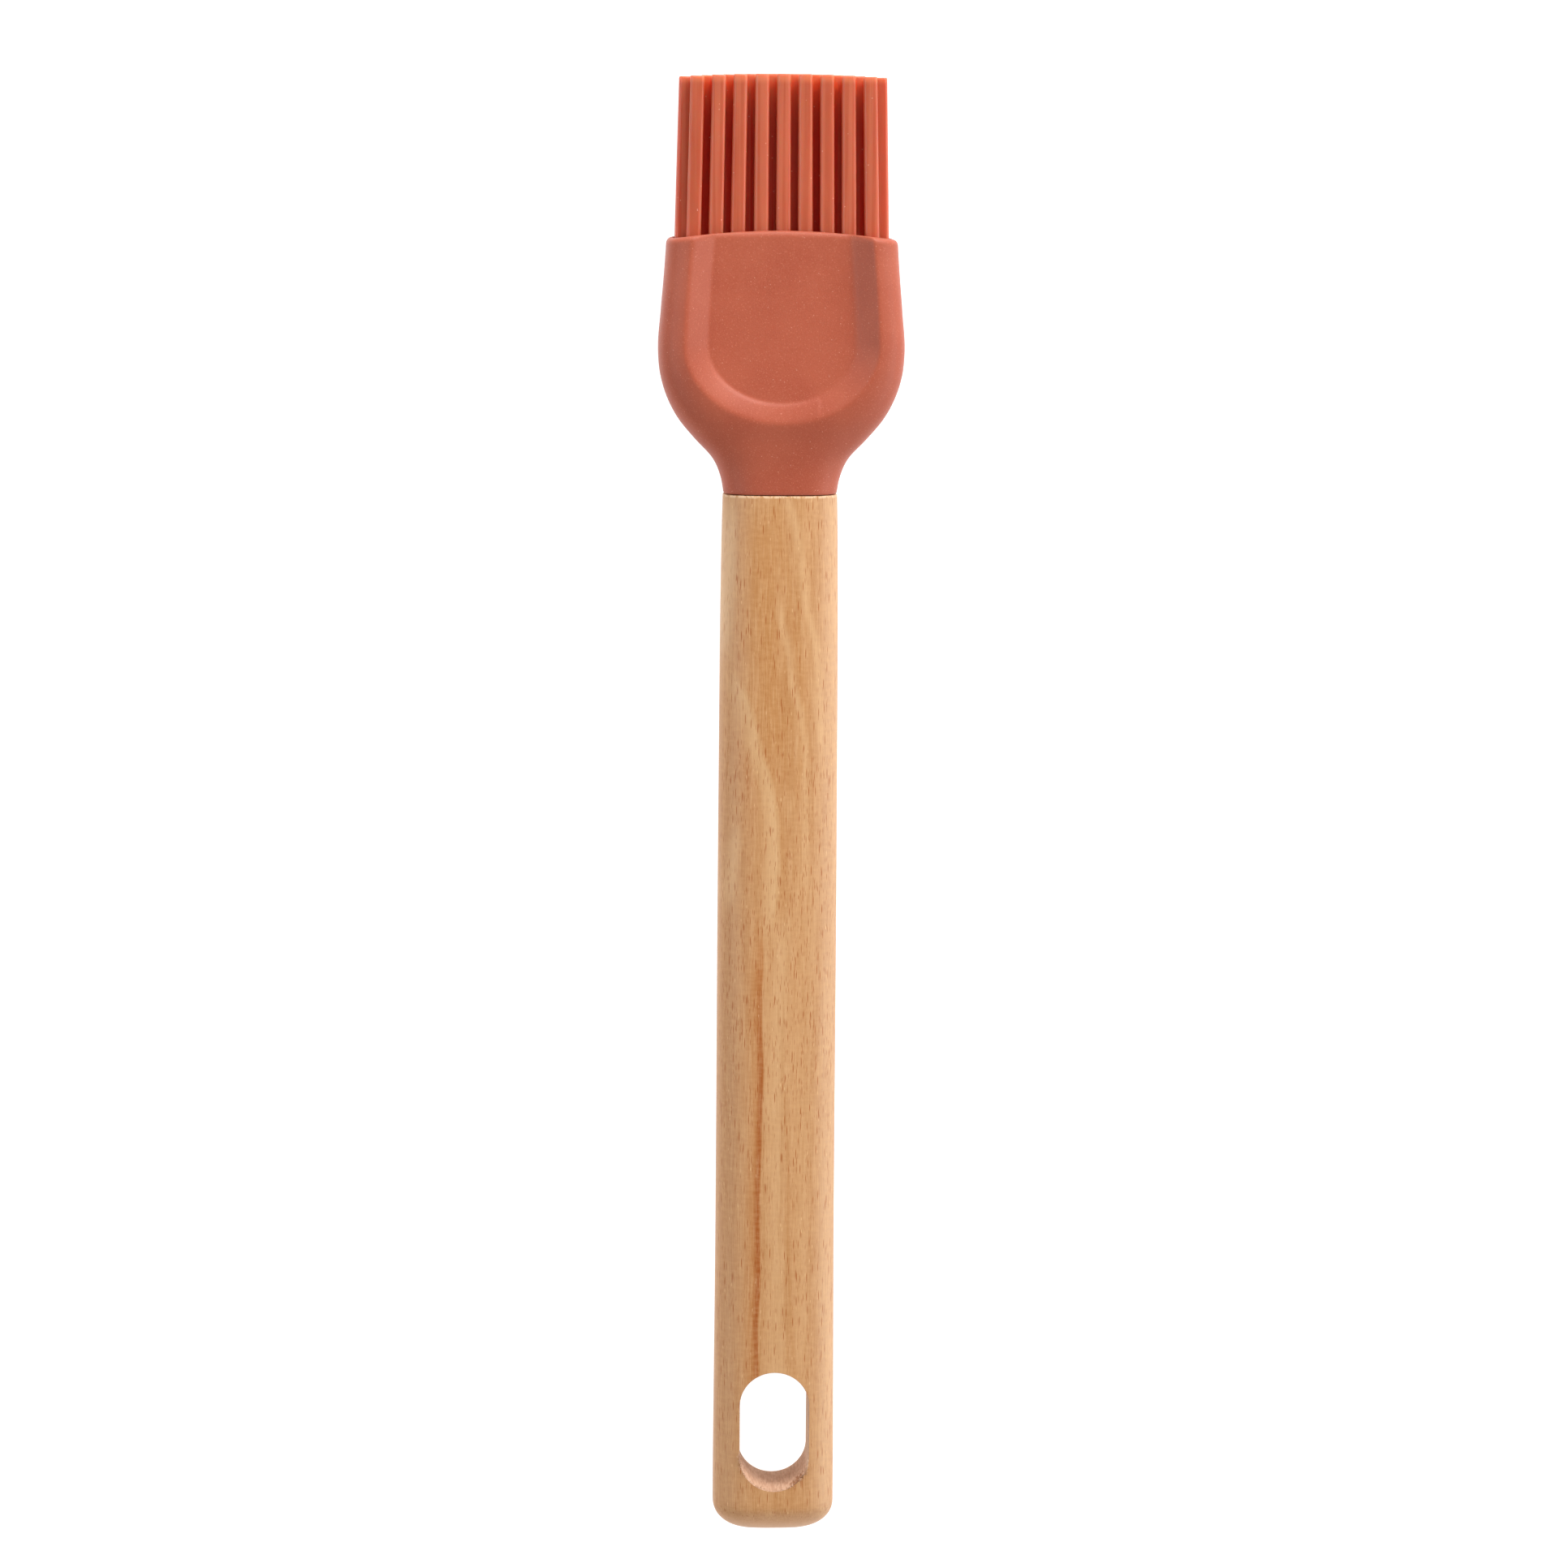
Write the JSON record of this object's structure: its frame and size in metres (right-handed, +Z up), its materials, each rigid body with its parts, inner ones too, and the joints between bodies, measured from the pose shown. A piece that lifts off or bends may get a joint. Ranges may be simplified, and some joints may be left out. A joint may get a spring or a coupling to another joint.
{
  "type": "pastry brush",
  "caption": "Flat pastry and basting brush: a wooden handle with a hanging slot, and a pull-off flared silicone head with staggered rows of straight bristles.",
  "frame": {"origin": "under the middle of the brush, on the surface that its head lies on", "axes": "+Y along the brush from the butt to the bristle tips, +X across it, +Z up out of its front"},
  "size_m": [0.0396, 0.24, 0.017],
  "materials": {
    "beech": "oiled beech, satin",
    "nylon_core": "moulded, fine texture",
    "hood_silicone": "moulded silicone, matte",
    "bristle_silicone": "moulded silicone, soft gloss"
  },
  "bodies": {
    "handle": {"handle": "beech", "core_insert": "nylon_core"},
    "head": {"hood": "hood_silicone", "front_bristle_comb": "bristle_silicone", "inner_front_bristle_comb": "bristle_silicone", "middle_bristle_comb": "bristle_silicone", "inner_back_bristle_comb": "bristle_silicone", "back_bristle_comb": "bristle_silicone"}
  },
  "joints": [
    {"name": "head_pull_off", "type": "slide", "parent": "handle", "child": "head", "axis": [0, 1, 0], "range_m": [0, 0.03]}
  ]
}
